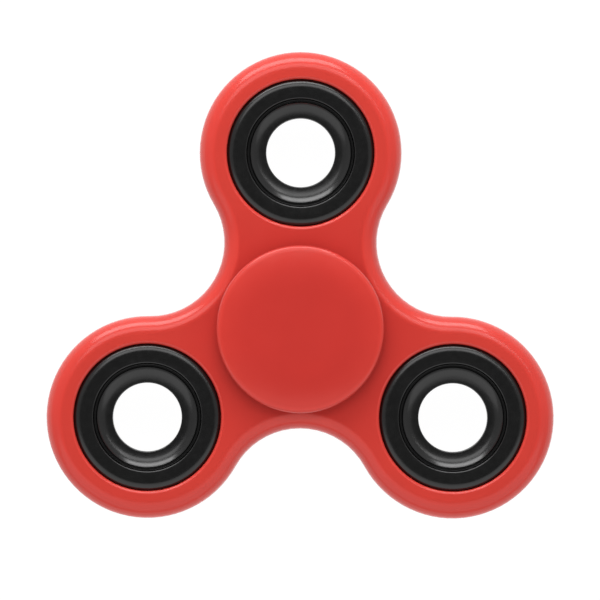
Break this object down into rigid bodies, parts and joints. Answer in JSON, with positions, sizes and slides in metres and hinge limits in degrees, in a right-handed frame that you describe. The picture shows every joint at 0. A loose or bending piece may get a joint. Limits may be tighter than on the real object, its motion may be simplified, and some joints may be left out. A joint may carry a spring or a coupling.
{
  "type": "fidget spinner",
  "caption": "Flat three-lobed finger spinner: a rounded plastic body with a black weight ring in each lobe turns on a ball bearing between two disc finger caps.",
  "frame": {"origin": "centre of the rear finger cap's outer face, on which the spinner lies", "axes": "+Z along the spin axis towards the front finger cap; +Y towards lobe 1; +X completes a right-handed frame"},
  "size_m": [0.076, 0.0701, 0.013],
  "materials": {
    "red_plastic": "glossy moulded ABS, satin highlights",
    "black_coat": "satin black coating on a cast weight",
    "race_steel": "ground bearing steel",
    "ball_steel": "polished bearing steel",
    "cage_steel": "pressed steel, dull",
    "shield_steel": "pressed sheet steel, fine circular grain",
    "spring_steel": "dark spring steel wire"
  },
  "bodies": {
    "finger_grip": {"front_finger_cap": "red_plastic", "rear_finger_cap": "red_plastic", "bearing_inner_race": "race_steel"},
    "rotor": {"spinner_body": "red_plastic", "weight_ring_1": "black_coat", "weight_ring_2": "black_coat", "weight_ring_3": "black_coat", "bearing_outer_race": "race_steel", "front_bearing_shield": "shield_steel", "rear_bearing_shield": "shield_steel", "front_shield_clip": "spring_steel", "rear_shield_clip": "spring_steel"},
    "bearing_cage": {"front_cage_half": "cage_steel", "rear_cage_half": "cage_steel", "cage_rivet_1": "cage_steel", "cage_rivet_2": "cage_steel", "cage_rivet_3": "cage_steel", "cage_rivet_4": "cage_steel", "cage_rivet_5": "cage_steel", "cage_rivet_6": "cage_steel", "cage_rivet_7": "cage_steel"},
    "ball_1": {"bearing_ball_1": "ball_steel"},
    "ball_2": {"bearing_ball_2": "ball_steel"},
    "ball_3": {"bearing_ball_3": "ball_steel"},
    "ball_4": {"bearing_ball_4": "ball_steel"},
    "ball_5": {"bearing_ball_5": "ball_steel"},
    "ball_6": {"bearing_ball_6": "ball_steel"},
    "ball_7": {"bearing_ball_7": "ball_steel"}
  },
  "joints": [
    {"name": "rotor_spin", "type": "hinge", "parent": "finger_grip", "child": "rotor", "pos_m": [0, 0, 0.0065], "axis": [0, 0, 1], "continuous": true},
    {"name": "cage_orbit", "type": "hinge", "parent": "finger_grip", "child": "bearing_cage", "pos_m": [0, 0, 0.0065], "axis": [0, 0, 1], "continuous": true},
    {"name": "ball_1_roll", "type": "hinge", "parent": "bearing_cage", "child": "ball_1", "pos_m": [0, 0.0075, 0.0065], "axis": [0, 0, 1], "continuous": true},
    {"name": "ball_2_roll", "type": "hinge", "parent": "bearing_cage", "child": "ball_2", "pos_m": [-0.00586, 0.00468, 0.0065], "axis": [0, 0, 1], "continuous": true},
    {"name": "ball_3_roll", "type": "hinge", "parent": "bearing_cage", "child": "ball_3", "pos_m": [-0.00731, -0.00167, 0.0065], "axis": [0, 0, 1], "continuous": true},
    {"name": "ball_4_roll", "type": "hinge", "parent": "bearing_cage", "child": "ball_4", "pos_m": [-0.00325, -0.00676, 0.0065], "axis": [0, 0, 1], "continuous": true},
    {"name": "ball_5_roll", "type": "hinge", "parent": "bearing_cage", "child": "ball_5", "pos_m": [0.00325, -0.00676, 0.0065], "axis": [0, 0, 1], "continuous": true},
    {"name": "ball_6_roll", "type": "hinge", "parent": "bearing_cage", "child": "ball_6", "pos_m": [0.00731, -0.00167, 0.0065], "axis": [0, 0, 1], "continuous": true},
    {"name": "ball_7_roll", "type": "hinge", "parent": "bearing_cage", "child": "ball_7", "pos_m": [0.00586, 0.00468, 0.0065], "axis": [0, 0, 1], "continuous": true}
  ],
  "couplings": [
    {"joint": "cage_orbit", "follows": "rotor_spin", "ratio": 0.6323},
    {"joint": "ball_1_roll", "follows": "rotor_spin", "ratio": 1.7573},
    {"joint": "ball_2_roll", "follows": "rotor_spin", "ratio": 1.7573},
    {"joint": "ball_3_roll", "follows": "rotor_spin", "ratio": 1.7573},
    {"joint": "ball_4_roll", "follows": "rotor_spin", "ratio": 1.7573},
    {"joint": "ball_5_roll", "follows": "rotor_spin", "ratio": 1.7573},
    {"joint": "ball_6_roll", "follows": "rotor_spin", "ratio": 1.7573},
    {"joint": "ball_7_roll", "follows": "rotor_spin", "ratio": 1.7573}
  ]
}
